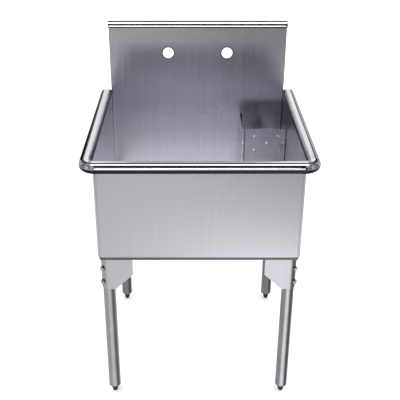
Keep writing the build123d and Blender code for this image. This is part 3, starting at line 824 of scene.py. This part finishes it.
def floor_glow(paint):
    """The floor is lit in front, most of all to the right, and dimmer further off. Under the sink
    lies its shadow, an ellipse."""
    near = pool(paint, 0.33, -0.92, 0.38, 0.45)
    broad = pool(paint, -0.25, -1.7, 0.9, 1.5)
    far = pool(paint, -0.45, -3.6, 0.4, 0.9)
    sides = pool(paint, -2.4, 0, 0.9, 1.4) + pool(paint, 2.4, 0, 0.9, 1.4)
    beside = pool(paint, -1.45, -0.3, 0.3, 0.4) + pool(paint, 1.45, -0.3, 0.3, 0.4)
    behind = pool(paint, 0, 2.4, 1.4, 1.1)
    glow = broad * 0.33 + near * 0.98 + far * 0.62 + (sides + behind) * 0.45 + beside * 0.6
    across, along = paint.x / 1.15, paint.y / 0.36
    shadow_ends = (across * across + along * along).step(0.7, 1.15)
    return 0.05 + glow * (0.12 + 0.88 * shadow_ends)


def leg_glow(base, peak):
    """The floor round one leg: brightest towards the front, and darkest towards the right."""
    def glow(paint):
        reach = (paint.x * paint.x + paint.y * paint.y).root()
        side, front = paint.x / reach, -(paint.y / reach)
        dark_side = side.step(0.5, 0.9) * front.step(-0.35, -0.1)
        return base * (1 - 0.65 * dark_side) + peak * front.step(0.75, 0.97)
    return glow


# %% How bright the upright boards are
def panel_glow(paint):
    """The front panel as the outside sees it: no hard edge along its foot."""
    return paint.z.step(0.5, 0.9) * 2.6


def back_panel_glow(paint):
    """The front panel as the backsplash and the bowl see it: brighter upwards, and dimmer to the
    right. Below it the room is dark, which is the dark line under the roll of the backsplash."""
    upper = paint.z.step(1.9, 2.7) * 2.2 * (1 - paint.x.step(-0.3, 0.6) * 0.5)
    return paint.z.step(1.2, 1.36) * 1.9 + upper


def rear_glow(paint):
    """The rear panel is dimmer in the middle, where the front rim sees it."""
    return 0.6 + abs(paint.x).step(0.5, 0.9) * 0.6


def rim_glow(side):
    """The rear panel as one side rim sees it: bright over its flat top, dark in its inner bend."""
    def glow(paint):
        outward = paint.x * side
        over_top = outward.band(-0.35, 1.2, 0.25, 0.1)
        return over_top * (0.7 + 0.5 * outward.step(0.5, 0.9))
    return glow


def rear_left_glow(paint):
    """The dim edge of the left rim, darker outwards."""
    return paint.x.step(-2.0, -1.1) * 0.3


# %% How bright the cards inside the bowl are
def card_glow(paint):
    """A card on the bowl's floor, for the light that bounces about in there, most at the back."""
    return 0.15 + paint.y.step(-0.15, 0.3) * 0.30


def front_card_glow(paint):
    """A faint card before the inside of the front wall, for the middle of the backsplash."""
    return 0.10 * (1 - abs(paint.x).step(0.08, 0.2)) * paint.z.step(0.76, 0.80)


# %% [markdown]
# ## Hanging the boards
#
# Each row gives a board's corner, its two edges in metres, how bright it is and who mirrors it.
# Two see-through boards on one plane would hide each other, so each has a plane of its own.

# %% The floor round each leg
glow_board(
    "floor_seen_in_steel", (-20, -20, -0.0005), (40, 0, 0), (0, 40, 0), floor_glow, all_but_legs
)
leg_floors = {  # brightness all round, and the extra in front
    "front_right": (0.40, 0.78),
    "front_left": (0.52, 0.33),
    "rear_right": (0.30, 0.05),
    "rear_left": (0.30, 0.05),
}
for layer, (corner, (base, peak)) in enumerate(leg_floors.items()):
    low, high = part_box(f"leg_tube_{corner}")
    this_leg = pieces_group("leg_" + corner, [f"{name}_{corner}" for name in leg_names])
    name = "floor_round_leg_" + corner
    board = glow_board(name, (-3, -3, 0), (6, 0, 0), (0, 6, 0), leg_glow(base, peak), this_leg)
    board.location = ((low.x + high.x) / 2, (low.y + high.y) / 2, -0.001 - 0.0005 * layer)
print(len(leg_floors), "legs have a floor of their own")

# %% Panels and cards
for name, side in (("left_wall", -1), ("right_wall", 1)):
    this_rim = pieces_group("only_" + name, [name])
    corner = (-1.3, 4.02 + 0.01 * side, 1.2)
    edges = (2.6, 0, 0), (0, 0, 2.0)
    glow_board("rear_panel_for_" + name, corner, *edges, rim_glow(side), this_rim)

boards = [
    ("front_panel", (-0.8, -3.4, 0.5), (1.6, 0, 0), (0, 0, 2.15), panel_glow, outer_pieces),
    ("back_panel", (-1.1, -3.4, 0.9), (1.9, 0, 0), (0, 0, 1.8), back_panel_glow, bowl_inside),
    ("overhead_panel", (-1.5, -0.75, 3.3), (3.0, 0, 0), (0, 1.65, -0.3), 2.0),
    ("overhead_behind", (-1.5, 0.9, 3.0), (3.0, 0, 0), (0, 1.8, -0.3), 0.6, side_rims),
    ("corner_fill", (-4, -3.45, 2.66), (8, 0, 0), (0, 2.65, 0.62), 0.3, rim_corners),
    ("corner_fill_left", (-3.45, -3.4, 0.3), (0, 5.2, 0), (0, 0, 5.5), 0.3, rim_corners),
    ("corner_fill_right", (3.45, -3.4, 0.3), (0, 5.2, 0), (0, 0, 5.5), 0.3, rim_corners),
    ("bowl_light", (-1.0, -0.35, 3.31), (2.0, 0, 0), (0, 0.5, 0), 8.0, bowl_inside),
    ("front_card", (-0.2, -0.299, 0.76), (0.4, 0, 0), (0, 0, 0.10), front_card_glow, bowl_inside),
    ("bowl_card", (-0.29, -0.29, 0.546), (0.58, 0, 0), (0, 0.58, 0), card_glow),
    ("rear_panel", (-1.1, 4.0, 1.2), (2.35, 0, 0), (0, 0, 1.75), rear_glow, all_but_sides),
    ("rear_right_panel", (1.45, 4.0, 0.4), (1.2, 0, 0), (0, 0, 1.8), 0.55),
    ("rear_left_panel", (-2.1, 4.04, 0.4), (1.0, 0, 0), (0, 0, 2.8), rear_left_glow),
    ("left_panel", (-2.6, -1.8, 0.0), (0, 3.6, 0), (0, 0, 1.6), 1.2, outer_but_corners),
    ("right_panel", (2.6, -1.2, 0.2), (0, 2.6, 0), (0, 0, 2.4), 0.8, outer_but_corners),
]
for board in boards:
    glow_board(*board)
print(len(boards), "panels and cards")

# %% [markdown]
# ## Light behind the guard's holes
#
# Looking down through a hole of the guard, one sees the rear wall, and in it the guard's own inner
# side. A lit strip there, one for each row of holes, makes the holes shine.

# %% Strips behind the guard
STRIP_HEIGHT, STRIP_LENGTH, STRIP_GAP = 12 * MM, 0.15, 3 * MM
strips = [(0.6258, 7.0), (0.5974, 3.0), (0.5688, 10.0)]  # height of the middle, and brightness
for row, (level, brightness) in enumerate(strips):
    corner = (guard_low.x, guard_low.y + STRIP_GAP, level - STRIP_HEIGHT / 2)
    edges = (STRIP_LENGTH, 0, 0), (0, 0, STRIP_HEIGHT)
    glow_board(f"guard_strip_{row}", corner, *edges, brightness, behind_guard)
print(len(strips), "strips")

# %% Panels across the corners of the room
PANEL_HEIGHT, UPPER_HEIGHT, UPPER_BRIGHTNESS = 2.7, 3.5, 0.2
corner_panels = {  # from x, y to x, y, and brightness
    "front_right": (1.5, -3.2, 3.3, -1.6, 0.3),
    "front_left": (-1.1, -3.4, -3.2, -1.7, 0.5),
    "rear_right": (2.7, 3.9, 3.7, 1.3, 0.5),
    "rear_left": (-2.7, 3.9, -3.7, 1.3, 0.5),
}
for name, (x0, y0, x1, y1, brightness) in corner_panels.items():
    along = (x1 - x0, y1 - y0, 0)
    glow_board("panel_" + name, (x0, y0, 0), along, (0, 0, PANEL_HEIGHT), brightness)
    upper = (0, 0, UPPER_HEIGHT)
    glow_board("upper_panel_" + name, (x0, y0, PANEL_HEIGHT), along, upper, UPPER_BRIGHTNESS)
print(2 * len(corner_panels), "corner panels")
